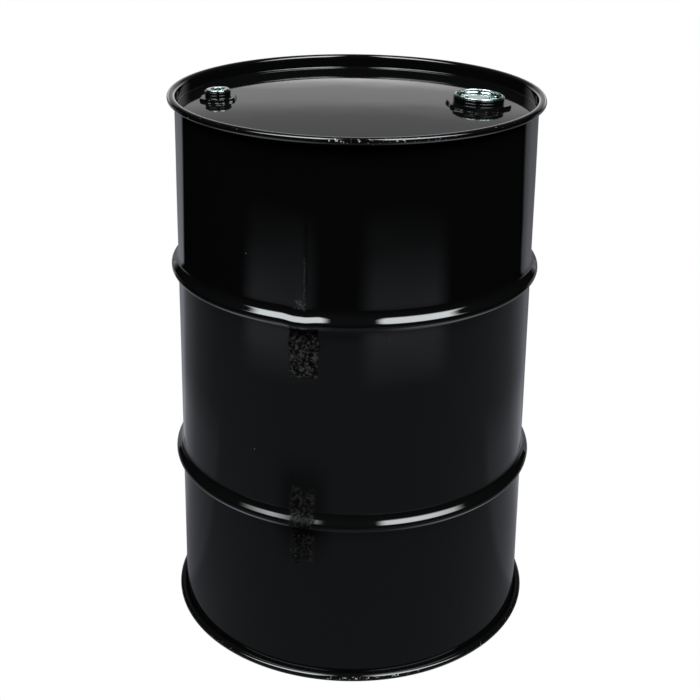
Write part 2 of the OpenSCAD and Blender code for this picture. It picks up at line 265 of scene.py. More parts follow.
class Shader:
    """Builds a node tree. Each call adds one node and gives one of its outputs."""

    def __init__(self, tree):
        self.tree = tree
        tree.nodes.clear()

    def node(self, kind, inputs=(), out=0, **settings):
        made = self.tree.nodes.new(kind)
        for key, value in settings.items():
            setattr(made, key, value)
        pairs = inputs.items() if isinstance(inputs, dict) else enumerate(inputs)
        for key, value in pairs:
            if isinstance(value, Value):
                self.tree.links.new(value.socket, made.inputs[key])
            else:
                made.inputs[key].default_value = value
        return Value(self, made.outputs[out]) if made.outputs else made

    def math(self, operation, *values):
        return self.node("ShaderNodeMath", values, operation=operation)

    def ramp(self, x, low, high, start=0.0, end=1.0):
        """Goes smoothly from start to end as x goes from low to high."""
        return self.node("ShaderNodeMapRange", (x, low, high, start, end),
                         interpolation_type="SMOOTHSTEP")

    def steps(self, x, *points):
        """Straight lines between the given (x, value) points, level beyond them."""
        made = points[0][1]
        for (x0, y0), (x1, y1) in zip(points, points[1:]):
            made = self.node("ShaderNodeMapRange", (x, x0, x1, 0.0, y1 - y0)) + made
        return made

    def between(self, x, low, high, soft):
        """1 between low and high, falling smoothly to 0 over the soft width outside them."""
        return self.ramp(x, low - soft, low) * self.ramp(x, high, high + soft, 1.0, 0.0)

    def vector(self, operation, *values, out=0):
        return self.node("ShaderNodeVectorMath", values, out=out, operation=operation)

    def combine(self, x, y, z):
        return self.node("ShaderNodeCombineXYZ", (x, y, z))

    def split(self, vector):
        first = self.node("ShaderNodeSeparateXYZ", (vector,))
        outputs = first.socket.node.outputs
        return [Value(self, outputs[i]) for i in range(3)]

    def noise(self, vector, scale, detail=2.0, roughness=0.5, distortion=0.0):
        return self.node("ShaderNodeTexNoise", {"Vector": vector, "Scale": scale, "Detail": detail,
                                                "Roughness": roughness, "Distortion": distortion})

    def colours(self, factor, a, b):
        return self.node("ShaderNodeMix", {0: factor, 6: a, 7: b}, out=2, data_type="RGBA")

    def bump(self, height, distance, normal=None):
        inputs = {"Height": height, "Distance": distance, "Strength": 1.0}
        if normal is not None:
            inputs["Normal"] = normal
        return self.node("ShaderNodeBump", inputs)

    def specks(self, vector, scale, share, size):
        """Small round spots: this share of the cells has one, of this size in cells."""
        cell = self.node("ShaderNodeTexVoronoi", {"Vector": vector, "Scale": scale}, out=0)
        colour = Value(self, cell.socket.node.outputs[1])
        pick = self.math("LESS_THAN", self.split(colour)[0], share)
        near = self.ramp(cell, size * 0.5, size, 1.0, 0.0)
        return pick * near


def grey(v, tint=(1, 1, 1)):
    return (v * tint[0], v * tint[1], v * tint[2], 1)


def new_material(name):
    material = bpy.data.materials.new(name)
    material.use_nodes = True
    return material, Shader(material.node_tree)


def surface(s, **inputs):
    """Ends a material with one principled surface. Input names have _ for spaces."""
    made = s.node("ShaderNodeBsdfPrincipled", {k.replace("_", " "): v for k, v in inputs.items()})
    s.node("ShaderNodeOutputMaterial", (made,))


def cylinder_place(s):
    """Position in the part's frame in metres, its height, its distance from the axis, and its
    angle round the axis in degrees anticlockwise from +X."""
    place = s.node("ShaderNodeTexCoord", out=3)
    x, y, z = s.split(place)
    radius = s.vector("LENGTH", s.combine(x, y, 0.0), out=1)
    angle = s.math("ARCTAN2", y, x) * (180 / math.pi)
    return place, z, radius, angle


# ---------------------------------------------------------------- materials


def make_enamel():
    """Glossy black enamel on steel: orange peel, faint haze, chips on the chimes, rough patches and
    a dull band by the side weld, dust."""
    material, s = new_material("black_enamel")
    place, z, radius, angle = cylinder_place(s)

    # the side weld: degrees from its middle, on the outside of the shell
    off_seam = s.math("WRAP", angle - SEAM_ANGLE, 180.0, -180.0)
    on_wall = s.math("GREATER_THAN", radius, (SHELL_R - 0.4) * MM)
    ragged = s.noise(place, 55.0, 3.0, 0.6) - 0.5
    z_ragged = z + ragged * 0.03
    off_ragged = off_seam + ragged * 2.6
    high_patch = s.between(off_ragged, -3.0, 4.8, 0.8) * s.between(z_ragged, 0.512, 0.586, 0.008)
    low_patch = s.between(off_ragged, -2.4, 3.4, 1.4) * s.between(z_ragged, 0.208, 0.318, 0.014)
    patch = (high_patch + low_patch) * on_wall
    halo = s.between(off_seam, -2.5, 3.5, 8.0) * s.between(z, 0.262, 0.318, 0.085) * on_wall
    blister = s.noise(place, 210.0, 4.0, 0.65, 0.4)
    streak = s.between(off_seam + ragged, 0.9, 1.2, 0.3) * s.between(z, 0.634, 0.688, 0.012) * on_wall
    spots = (s.between(off_seam + ragged * 5.0, -1.4, 1.6, 0.6)
             * s.between(z_ragged, 0.619, 0.628, 0.004) * on_wall)

    # chips and scrapes along the outer edges of the chimes
    by_chime = s.math("GREATER_THAN", s.math("ABSOLUTE", z - DRUM_H * MM / 2), (DRUM_H / 2 - 14) * MM)
    on_chime = s.ramp(radius, 0.2955, 0.2972) * by_chime
    low_edge = s.ramp(z, 0.004, 0.0005)
    front = s.between(angle, -92.0, -66.0, 7.0)
    chip_noise = s.noise(place, 210.0, 4.0, 0.62)
    fine_noise = s.noise(place, 900.0, 2.0, 0.5)
    chip_top = s.ramp(chip_noise + 0.07 * front, 0.665, 0.69) * on_chime
    scrape = s.ramp(chip_noise + 0.28 * low_edge - 0.1, 0.60, 0.68) * low_edge
    bare = s.math("MAXIMUM", chip_top * s.ramp(fine_noise, 0.35, 0.5), scrape * 0.8)

    # dust and haze
    dust = s.specks(place, 95.0, 0.02, 0.06)
    haze = s.noise(place, 9.0, 3.0, 0.6)
    fine_haze = s.noise(place, 60.0, 4.0, 0.7)

    roughness = s.ramp(haze, 0.35, 0.75, 0.035, 0.065)
    roughness = roughness + s.ramp(fine_haze, 0.5, 0.8, 0.0, 0.03)
    roughness = roughness + patch * 0.3 + bare * 0.4 + dust * 0.4

    pale = s.ramp(blister, 0.42, 0.7)
    scaled = (high_patch + low_patch * 0.35) * on_wall * pale
    colour = s.colours(scaled, grey(0.0022), grey(0.055, (1, 1, 0.93)))
    colour = s.colours(spots * pale, colour, grey(0.06))
    colour = s.colours(streak * s.ramp(fine_noise, 0.45, 0.65), colour, grey(0.04))
    colour = s.colours(bare, colour, grey(0.34, (1, 0.98, 0.94)))
    colour = s.colours(dust, colour, grey(0.5))
    shine = 0.5 - 0.48 * s.math("MAXIMUM", halo * 0.7, patch)

    peel = s.noise(place, 420.0, 2.0, 0.5)
    wave = s.noise(place, 14.0, 1.0, 0.5)
    normal = s.bump(wave, 0.00006)
    normal = s.bump(peel, 0.000008, normal)
    normal = s.bump(blister * patch, 0.0006, normal)
    normal = s.bump(0.0 - bare, 0.00015, normal)
    surface(s, Base_Color=colour, Roughness=roughness, IOR=1.5, Specular_IOR_Level=shine,
            Normal=normal)
    return material


def make_zinc():
    """Bright zinc plate with a cool tint, soft blooms and faint brushing, duller on the rims."""
    material, s = new_material("zinc_plate")
    place = s.node("ShaderNodeTexCoord", out=3)
    bloom = s.noise(place, 60.0, 3.0, 0.55)
    x, y, z = s.split(place)
    brushing = s.noise(s.combine(x * 0.08, y, z), 900.0, 1.0, 0.5)
    colour = s.colours(s.ramp(bloom, 0.35, 0.7),
                       grey(0.8, (0.88, 1.0, 0.96)), grey(0.6, (0.72, 0.96, 0.98)))
    roughness = s.ramp(bloom, 0.3, 0.75, 0.06, 0.14) + s.ramp(z, 0.8705, 0.8725, 0.0, 0.18)
    normal = s.bump(bloom, 0.0001)
    normal = s.bump(brushing, 0.000008, normal)
    surface(s, Base_Color=colour, Metallic=1.0, Roughness=roughness, Normal=normal)
    return material


def make_flange_steel():
    """Bare pressed steel of the flanges, with a thin film of oil and stain."""
    material, s = new_material("flange_steel")
    place = s.node("ShaderNodeTexCoord", out=3)
    stain = s.noise(place, 90.0, 4.0, 0.6)
    grain = s.noise(place, 900.0, 2.0, 0.5)
    colour = s.colours(s.ramp(stain, 0.4, 0.7), grey(0.42), grey(0.25, (1.0, 0.93, 0.82)))
    roughness = s.ramp(stain, 0.3, 0.7, 0.28, 0.5)
    surface(s, Base_Color=colour, Metallic=1.0, Roughness=roughness,
            Normal=s.bump(grain, 0.00004))
    return material


def make_rubber():
    """Black moulded rubber of the gaskets, slightly dusty."""
    material, s = new_material("gasket_rubber")
    place = s.node("ShaderNodeTexCoord", out=3)
    bloom = s.noise(place, 140.0, 4.0, 0.65)
    grain = s.noise(place, 1800.0, 2.0, 0.5)
    colour = s.colours(s.ramp(bloom, 0.45, 0.8), grey(0.018), grey(0.05, (1, 0.97, 0.92)))
    surface(s, Base_Color=colour, Roughness=s.ramp(bloom, 0.3, 0.8, 0.55, 0.85),
            Normal=s.bump(grain, 0.00008))
    return material


def make_compound():
    """Dried sealing compound in the core of the rolled seams."""
    material, s = new_material("seam_compound")
    place = s.node("ShaderNodeTexCoord", out=3)
    lump = s.noise(place, 260.0, 4.0, 0.6)
    colour = s.colours(lump, grey(0.34, (1.0, 0.9, 0.7)), grey(0.2, (1.0, 0.86, 0.62)))
    surface(s, Base_Color=colour, Roughness=s.ramp(lump, 0.3, 0.8, 0.5, 0.8),
            Normal=s.bump(lump, 0.0003))
    return material


# ---------------------------------------------------------------- the drum's sheet metal


def hoop_path(z):
    """A rolling hoop: tuck, crest, straight flank and sweep, each meeting the next at one tangent."""
    tuck_sum, sweep_sum = HOOP_TUCK_R + HOOP_CREST_R, HOOP_SWEEP_R + HOOP_CREST_R
    tuck = math.degrees(math.acos((tuck_sum - HOOP_OUT) / tuck_sum))
    rise, run = math.sin(math.radians(HOOP_SLOPE)), math.cos(math.radians(HOOP_SLOPE))
    flank = (HOOP_OUT - sweep_sum * (1 - run)) / rise
    below = (SHELL_R + HOOP_TUCK_R, z - tuck_sum * math.sin(math.radians(tuck)))
    above = (SHELL_R + HOOP_SWEEP_R, z + sweep_sum * rise + flank * run)
    return np.concatenate([
        arc(below, HOOP_TUCK_R, 180, 180 - tuck, -1),
        arc((SHELL_R + HOOP_OUT - HOOP_CREST_R, z), HOOP_CREST_R, -tuck, HOOP_SLOPE, 1),
        arc(above, HOOP_SWEEP_R, 180 + HOOP_SLOPE, 180, -1)])


def shell_roll():
    return np.concatenate([
        arc(ROLL_IN, ROLL_R - LAYER, 180, 90, -1, 9),
        arc(ROLL_OUT, ROLL_R - 2 * LAYER, 90, -90, -1, 9),
        arc(ROLL_IN, ROLL_R - 3 * LAYER, -90, -200, -1, 12)])


def head_roll():
    return np.concatenate([
        arc(ROLL_IN, ROLL_R, 180, 90, -1, 9),
        arc(ROLL_OUT, ROLL_R - LAYER, 90, -90, -1, 7.5),
        arc(ROLL_IN, ROLL_R - 2 * LAYER, -90, -270, -1, 12),
        arc(ROLL_OUT, ROLL_R - 3 * LAYER, 90, 0, -1, 15)])


def off_seam_degrees(degrees):
    """How far an angle is from the side weld, within half a turn."""
    return (degrees - SEAM_ANGLE + 180) % 360 - 180


def seam_dense_angles():
    """Angles round the shell in degrees, close together near the side weld."""
    coarse = np.arange(0, 360, 1.5)
    away = np.abs(off_seam_degrees(coarse))
    near = SEAM_ANGLE + np.arange(-6, 6.01, 0.25)
    return np.sort(np.concatenate([coarse[away > 6.5], near]))


def shell_wave(angle, z):
    """How far the shell's wall stands off a cylinder: slack between the hoops, drawn in at the weld."""
    spans = ((20, HOOPS[0] - 14), (HOOPS[0] + 20, HOOPS[1] - 14), (HOOPS[1] + 20, DRUM_H - 20))
    slack = sum(smoothstep(z, a, a + 50) * (1 - smoothstep(z, b - 50, b)) for a, b in spans)
    round_trip = np.stack([np.cos(angle) * 260, np.sin(angle) * 260, z], 1)
    by_weld = np.exp(-(off_seam_degrees(np.degrees(angle)) / 5) ** 2)
    long_wave, short_wave = soft_noise(round_trip, 130, 1), soft_noise(round_trip, 60, 2)
    return slack * (0.28 * long_wave + 0.12 * short_wave - 0.25 * by_weld)


def build_shell(enamel):
    """The shell: a sheet lathed along its path, with the slack of its walls, the weld's bead on the
    outside, and the upper hoop sagging where the weld crosses it."""
    wall = np.concatenate([flipped(shell_roll()), hoop_path(HOOPS[0]), hoop_path(HOOPS[1]),
                           shell_roll()])
    path = filled(wall, 7)
    angles = np.radians(seam_dense_angles())
    outer, inner = sheet_sides(path)
    section = np.concatenate([outer, inner[::-1]])
    is_outer = np.concatenate([np.ones(len(outer)), np.zeros(len(inner))])
    a, k = np.meshgrid(angles, np.arange(len(section)))
    r, z = section[k, 0], section[k, 1]
    flat = np.stack([a.ravel(), z.ravel()], 1)
    off = np.abs(off_seam_degrees(np.degrees(a)))
    top, hoop_z = DRUM_H - WELD_END, HOOPS[1]
    visible = smoothstep(z, WELD_END, WELD_END + 6) * (1 - smoothstep(z, top - 6, top))
    near_hoop = smoothstep(z, hoop_z - 40, hoop_z - 14) * (1 - smoothstep(z, hoop_z + 24, hoop_z + 60))
    bead = (1 - smoothstep(off, 0.4, 2.4)) * visible * is_outer[k] * (1 - near_hoop)
    z = z - HOOP_SAG * (1 - smoothstep(off, 1.0, 6.0)) * near_hoop
    r = r + shell_wave(flat[:, 0], flat[:, 1]).reshape(r.shape) + BEAD_H * bead
    build = Build()
    build.add(np.stack([r * np.cos(a), r * np.sin(a), z], 2).reshape(-1, 3))
    n, m = r.shape
    rows = [list(range(i * m, (i + 1) * m)) for i in range(n)]
    for i in range(n):
        build.strip(rows[i], rows[(i + 1) % n])
    piece("drum_shell", build, enamel, "drum", ["body_shell"])


def head_rim_path():
    corner = arc(CORNER_MID, CORNER_MID_R, -90 - math.degrees(DOME_SLOPE), 0, 1, 7.5)
    return filled(np.concatenate([corner, head_roll()]), 4)


def dome_height(r, back=0.0):
    """Height of the domed panel's outer face, or of a surface this far behind it."""
    return DOME_Z + np.sqrt((DOME_R - back) ** 2 - r ** 2)


def panel_slack(points, seed):
    """How far the slack sheet stands off its dome."""
    slack = 1 - smoothstep(np.hypot(points[:, 0], points[:, 1]), PANEL_R - 60, PANEL_R)
    flat = np.column_stack([points[:, :2], np.zeros(len(points))])
    return slack * (0.10 * soft_noise(flat, 110, seed) + 0.04 * soft_noise(flat, 45, seed + 1))


def seat_rings(bung, angles):
    """Rings from a collar's foot over the edge of the seat pressed round a bung, to a circle on the
    dome. Gives each ring's radii and how much of it is raised, on the outer and on the inner face."""
    edge = bung.seat_edge(angles)
    inner, outer = bung.edge
    last = bung.lobes_r + SEAT_MARGIN
    radii = [bung.foot_r + (edge - inner - bung.foot_r) * t for t in (0, 0.25, 0.5, 0.75)]
    radii += [edge + d for d in np.linspace(-inner, outer, 9)]
    radii += [edge + outer + (last - edge - outer) * t for t in (0.08, 0.2, 0.4, 0.7, 1.0)]
    return [(r, 1 - smoothstep(r - edge, -inner, outer),
             1 - smoothstep(r - edge + SHEET, -inner, outer)) for r in radii]


def collar_profile(bung):
    """A bung's collar, from its foot on the seat, over its ridge and curl, and down inside to its
    foot again."""
    w, h = bung.waist_r, bung.collar_h
    curl_x = w + RIDGE_R - CURL_R
    ridge_z = (h + EMBOSS_H) / 2 - 0.5
    lip_r = bung.rim_r + RIM_GAP + LIP_GAP
    foot_mid = (w + bung.foot, EMBOSS_H + bung.foot)
    bends = (arc(foot_mid, bung.foot, 270, 180, -1, 15),
             arc((w, ridge_z), RIDGE_R, -90, 90, 1, 15),
             arc((curl_x, h - CURL_R), CURL_R, -60, 90, 1, 12))
    return [(p[0], p[1]) for bend in bends for p in bend] + [
        (lip_r + 0.3, h), (lip_r, h - 0.3), (lip_r, h - SHEET), (bung.bore_r, h - SHEET),
        (bung.bore_r, EMBOSS_H - SHEET), (bung.foot_r, EMBOSS_H - SHEET)]


def build_top_head(enamel):
    """The top head: its panel is one net of triangles between its rim and the bungs' seats, with a
    second face behind it, joined by the rolled rim and by the collars."""
    rim_angles = ring_angles(360)
    bung_angles = ring_angles(128)
    spacing = 6.0
    top, under = Build(), Build()
    top_rim = top.ring(PANEL_R, dome_height(PANEL_R), rim_angles)
    under.ring(PANEL_R, dome_height(PANEL_R, SHEET), rim_angles)
    feet = {}
    for bung in (LARGE, SMALL):
        for r, raised, raised_under in seat_rings(bung, bung_angles):
            # in the bung's own frame, the dome falls away from its origin on all sides alike
            dome = dome_height(r) - DOME_Z - DOME_R
            dome_under = dome_height(r, SHEET) - DOME_Z - DOME_R
            made = top.ring(r, dome + raised * (EMBOSS_H - dome), bung_angles, bung.placed)
            under.ring(r, dome_under + raised_under * (EMBOSS_H - SHEET - dome_under),
                       bung_angles, bung.placed)
            feet.setdefault(bung, made)
    grid = []
    for j in range(-60, 61):
        for i in range(-60, 61):
            p = ((i + (j % 2) / 2) * spacing, j * spacing * math.sqrt(3) / 2)
            clear = all(math.hypot(p[0] - b.x, p[1]) > b.lobes_r + SEAT_MARGIN + spacing * 0.6
                        for b in (LARGE, SMALL))
            if clear and math.hypot(*p) < PANEL_R - spacing * 0.7:
                grid.append(p)
    grid = np.array(grid)
    r = np.hypot(grid[:, 0], grid[:, 1])
    slack = panel_slack(grid, 3)
    top.add(np.column_stack([grid, dome_height(r) + slack]))
    under.add(np.column_stack([grid, dome_height(r, SHEET) + slack]))

    flat = top.array()[:, :2]
    made = geometry.delaunay_2d_cdt([Vector(p) for p in flat], [], [], 0, 1e-6)
    old = [o[0] for o in made[3]]
    holes = [set(foot) for foot in feet.values()]
    kept = [[old[v] for v in f] for f in made[2]
            if not any(all(old[v] in hole for v in f) for hole in holes)]
    build = Build()
    first_top, first_under = build.add(top.array()), build.add(under.array())
    build.faces += [tuple(first_top + v for v in f) for f in kept]
    build.faces += [tuple(first_under + v for v in reversed(f)) for f in kept]

    # the wall and the roll, from the panel's underside out and back to its top
    below, above = sheet_sides(head_rim_path())
    made = build.rings(np.concatenate([below[1:], above[:0:-1]]), rim_angles)
    build.strip([first_under + v for v in top_rim], made[0])
    build.strip(made[-1], [first_top + v for v in top_rim])

    # the collars
    for bung, foot in feet.items():
        made = build.rings(collar_profile(bung)[1:-1], bung_angles, bung.placed)
        build.strip([first_top + v for v in foot], made[0])
        build.strip(made[-1], [first_under + v for v in foot])
    piece("top_head_sheet", build, enamel, "drum", ["top_head"])


def build_bottom_head(enamel):
    """The bottom head: the same dome and rolled rim without bungs, turned upside down."""
    a = np.linspace(0.002, DOME_SLOPE, 41)[:-1]
    middle = DOME_R - SHEET / 2
    dome = np.stack([middle * np.sin(a), DOME_Z + middle * np.cos(a), -np.sin(a), -np.cos(a)], 1)
    below, above = sheet_sides(np.concatenate([dome, head_rim_path()]))
    build = Build()
    made = build.rings(np.concatenate([below, above[::-1]]), ring_angles(360))
    build.pole(made[0], (0, 0, DOME_Z + DOME_R - SHEET))
    build.pole(made[-1], (0, 0, DOME_Z + DOME_R))
    points = build.array()
    r = np.minimum(np.hypot(points[:, 0], points[:, 1]), PANEL_R)
    on_panel = np.abs(points[:, 2] - dome_height(r)) < 2
    points[:, 2] = DRUM_H - points[:, 2] - on_panel * panel_slack(points, 5)
    build.points = [points]
    piece("bottom_head_sheet", build, enamel, "drum", ["bottom_head"])


# ---------------------------------------------------------------- plugs and gaskets


def rounded(points, steps=5):
    """A run of corners with each one that has a radius rounded. Each is (r, z) or (r, z, radius)."""
    made = []
    for i, p in enumerate(points):
        size = p[2] if len(p) > 2 else 0
        here = np.array(p[:2], float)
        if i in (0, len(points) - 1) or size == 0:
            made.append(tuple(here))
            continue
        back, ahead = np.array(points[i - 1][:2]) - here, np.array(points[i + 1][:2]) - here
        back, ahead = back / np.linalg.norm(back), ahead / np.linalg.norm(ahead)
        half = math.acos(np.clip(back @ ahead, -1, 1)) / 2
        if half > math.radians(88):
            made.append(tuple(here))
            continue
        reach = size / math.tan(half)
        centre = here + (back + ahead) / np.linalg.norm(back + ahead) * size / math.sin(half)
        a, b = here + back * reach - centre, here + ahead * reach - centre
        sweep = math.atan2(a[0] * b[1] - a[1] * b[0], a @ b)
        for t in np.linspace(0, sweep, steps + 1):
            c, s = math.cos(t), math.sin(t)
            made.append((centre[0] + c * a[0] - s * a[1], centre[1] + s * a[0] + c * a[1]))
    return made


def thread_rows(bung):
    """Heights on the skirt close enough together to carry the thread."""
    return np.arange(bung.skirt_z + 0.9, bung.under_z - 0.2, bung.pitch / 14)


def thread_stand(bung, z, angle):
    """How far a plug's thread stands out of its skirt at a height and an angle."""
    start = FLANGE_BASE + THREAD_INSET + ROOT_SHARE * bung.pitch - bung.pitch / 2
    turns = (bung.seat_z - FLANGE_BASE - 2 * THREAD_INSET) / bung.pitch - 2 * ROOT_SHARE + 0.4
    along = (z - start) / bung.pitch - angle / (2 * math.pi)
    turn = np.round(along)
    phase = np.abs(along - turn)
    depth = THREAD_DEPTH * bung.pitch
    stand = depth * np.clip((ROOT_SHARE - phase) / (ROOT_SHARE - CREST_SHARE), 0, 1)
    place = turn + angle / (2 * math.pi)
    fade = smoothstep(place, -0.02, 0.15) * (1 - smoothstep(place, turns - 0.15, turns + 0.02))
    return stand * fade


def build_plug(name, bung, profile_above, profile_below, zinc, body, node):
    """A plug: a lathed cup whose skirt carries the thread. The profiles run from axis to axis."""
    angles = ring_angles(144)
    build = Build()
    below = build.rings(profile_below, angles)
    last = below[-1]
    for z in thread_rows(bung):
        ring = build.ring(bung.skirt_r + thread_stand(bung, z, angles), z, angles)
        build.strip(last, ring)
        last = ring
    above = build.rings(profile_above, angles)
    build.strip(last, above[0])
    build.pole(below[0], (0, 0, profile_below[0][1]))
    build.pole(above[-1], (0, 0, profile_above[-1][1]))
    build.points = [bung.placed(build.array())]
    piece(name, build, zinc, body, [node])


def build_lug(name, bung, zinc, body, length, width, bottom, top, soft, lean=0.0):
    """A wrench lug: a closed block with rounded upper edges. length is its two ends along x, and
    lean narrows its top by this much a side."""
    (x0, x1), (y0, y1) = sorted(length), (-width / 2, width / 2)
    middle = ((x0 + x1) / 2, (y0 + y1) / 2)
    outline = []
    for x, y, start in ((x1, y1, 0), (x0, y1, 90), (x0, y0, 180), (x1, y0, 270)):
        inner = (x - math.copysign(soft, x - middle[0]), y - math.copysign(soft, y - middle[1]))
        outline += [(*inner, math.cos(t), math.sin(t))
                    for t in np.radians(np.linspace(start, start + 90, 5))]
    outline = np.array(outline)
    levels = [(0.0, bottom, soft)] + [(lean, top - soft + soft * math.sin(t), soft * math.cos(t))
                                      for t in np.radians(np.linspace(0, 80, 5))]
    build = Build()
    rings = []
    for inset, z, reach in levels:
        points = outline[:, :2] + (reach - inset) * outline[:, 2:]
        start = build.add(np.column_stack([points, np.full(len(points), z)]))
        rings.append(list(range(start, start + len(points))))
        if len(rings) > 1:
            build.strip(rings[-2], rings[-1])
    build.pole(rings[0][::-1], (*middle, bottom))
    build.pole(rings[-1], (*middle, top))
    build.points = [bung.placed(build.array())]
    piece(name, build, zinc, body)


def build_large_plug(zinc):
    """The large plug: a shallow cup with a rolled lip and two lugs on its floor, over its skirt."""
    b = LARGE
    root_r, bore_r, lip_w = b.skirt_r, b.skirt_r - LARGE_SKIRT_WALL, LARGE_LIP_W
    floor_z = b.under_z + LARGE_FLOOR_T
    below = rounded([(2, b.under_z), (bore_r, b.under_z, 0.8), (bore_r, b.skirt_z, 0.5),
                     (root_r, b.skirt_z, 0.7), (root_r, b.skirt_z + 0.85)])
    lip_mid = (b.rim_r - lip_w / 2, b.rim_h - lip_w / 2)
    above = rounded([(root_r, b.under_z - 0.1), (root_r, b.under_z, 0), (b.rim_r, b.under_z, 0.8),
                     (b.rim_r, lip_mid[1])])[:-1]
    above += [(p[0], p[1]) for p in arc(lip_mid, lip_w / 2, 0, 180, 1, 15)]
    above += rounded([(b.rim_r - lip_w, lip_mid[1]), (b.rim_r - lip_w - 0.4, floor_z, 1.6),
                      (28, floor_z), (2, floor_z + 0.15)])[1:]
    build_plug("large_plug_cup", b, above, below, zinc, "large_bung", "large_plug")
    for side, letter in ((1, "a"), (-1, "b")):
        build_lug("large_plug_lug_" + letter, b, zinc, "large_bung", (16 * side, 28 * side), 6,
                  floor_z - 1, floor_z + 3.2, 1.1, 0.35)


def build_small_plug(zinc):
    """The small plug: a flat rim round a recess with two lugs, over its skirt."""
    b = SMALL
    root_r, recess_r = b.skirt_r, b.skirt_r - SMALL_SKIRT_WALL
    bore_r = recess_r - 0.5
    floor_z, under_floor_z = SMALL_RECESS_Z, SMALL_RECESS_Z - 2
    below = rounded([(1, under_floor_z), (bore_r, under_floor_z, 0.4), (bore_r, b.skirt_z, 0.3),
                     (root_r, b.skirt_z, 0.5), (root_r, b.skirt_z + 0.85)])
    above = rounded([(root_r, b.under_z - 0.1), (root_r, b.under_z, 0), (b.rim_r, b.under_z, 0.6),
                     (b.rim_r, b.rim_h, 0.9), (recess_r + 0.6, b.rim_h, 0.9), (recess_r, floor_z, 0.9),
                     (1, floor_z)])
    build_plug("small_plug_cap", b, above, below, zinc, "small_bung", "small_plug")
    for side, letter in ((1, "a"), (-1, "b")):
        build_lug("small_plug_lug_" + letter, b, zinc, "small_bung",
                  ((recess_r - 3.5) * side, (recess_r + 0.5) * side), 4, floor_z - 1, floor_z + 5, 0.8)


def build_gasket(name, bung, rubber, body, node):
    """A plug's gasket: a ring with rounded corners, bulging slightly where it is pressed."""
    outer, inner = bung.rim_r - GASKET_INSET, bung.thread_r + GASKET_CLEAR
    low, high = bung.seat_z + FIT_GAP, bung.seat_z + FIT_GAP + bung.gasket_t
    middle = (low + high) / 2
    corners = [(inner + 1, low), (outer, low, 0.5), (outer + 0.1, middle), (outer, high, 0.5),
               (inner, high, 0.5), (inner, low, 0.5), (inner + 1, low)]
    build = Build()
    made = build.rings(rounded(corners)[:-1], ring_angles(128), bung.placed)
    build.strip(made[-1], made[0])
    piece(name, build, rubber, body, [node])


# ---------------------------------------------------------------- studio
# It turns with the camera. Angles round the axis run from the camera's side, positive to its right.
# Its brightness was chosen so that its reflections in the enamel look as they do in the photo.

CAMERA_AT = Vector((0.0873, -1.9987, 1.3289))
CAMERA_TURN = (2.274, 73.168, 0.829)         # degrees about Z, X and Z, applied from right to left
CAMERA_SHIFT = (-0.0153, -0.2393)
LENS = 66.53                                 # millimetres, on a sensor 36 wide
FLOOR_SIZE = 6.0                             # half its width
BOX_LIGHT = 14.5
BOX_SOFT = 9.0                               # degrees over which a box fades at its ends


def make_camera():
    """The photo's viewpoint and framing."""
    data = bpy.data.cameras.new("camera")
    data.sensor_width = 36
    data.lens = LENS
    camera = bpy.data.objects.new("camera", data)
    scene.collection.objects.link(camera)
    a, b, c = (math.radians(v) for v in CAMERA_TURN)
    turn = Matrix.Rotation(a, 4, "Z") @ Matrix.Rotation(b, 4, "X") @ Matrix.Rotation(c, 4, "Z")
    camera.matrix_world = Matrix.Translation(CAMERA_AT) @ turn
    scene.camera = camera
    # The lens is shifted at this viewpoint only: a camera moved anywhere else points straight.
    viewpoint = bpy.data.objects.new("viewpoint", None)
    viewpoint.location = CAMERA_AT
    scene.collection.objects.link(viewpoint)
    for path, shift in zip(("shift_x", "shift_y"), CAMERA_SHIFT):
        curve = data.driver_add(path)
        curve.driver.type = "SUM"
        moved = curve.driver.variables.new()
        moved.type = "LOC_DIFF"
        moved.targets[0].id, moved.targets[1].id = camera, viewpoint
        for modifier in list(curve.modifiers):
            curve.modifiers.remove(modifier)
        for distance, value in ((0.0, shift), (0.1, 0.0)):
            curve.keyframe_points.insert(distance, value).interpolation = "LINEAR"
        curve.extrapolation = "CONSTANT"


def camera_sides(s):
    """Level unit vectors to the camera's right and towards the camera, and the camera's height."""
    right = s.node("ShaderNodeVectorTransform", ((1.0, 0.0, 0.0),), vector_type="VECTOR",
                   convert_from="CAMERA", convert_to="WORLD")
    x, y, _ = s.split(right)
    right = s.vector("NORMALIZE", s.combine(x, y, 0.0))
    x, y, _ = s.split(right)
    towards = s.combine(y, 0.0 - x, 0.0)
    place = s.node("ShaderNodeVectorTransform", ((0.0, 0.0, 0.0),), vector_type="POINT",
                   convert_from="CAMERA", convert_to="WORLD")
    return right, towards, s.split(place)[2]


def studio_angle(s, vector, right, towards):
    """Degrees round the axis from the camera's side, positive to the camera's right."""
    side = s.vector("DOT_PRODUCT", vector, right, out=1)
    front = s.vector("DOT_PRODUCT", vector, towards, out=1)
    return s.math("ARCTAN2", side, front) * (180 / math.pi)


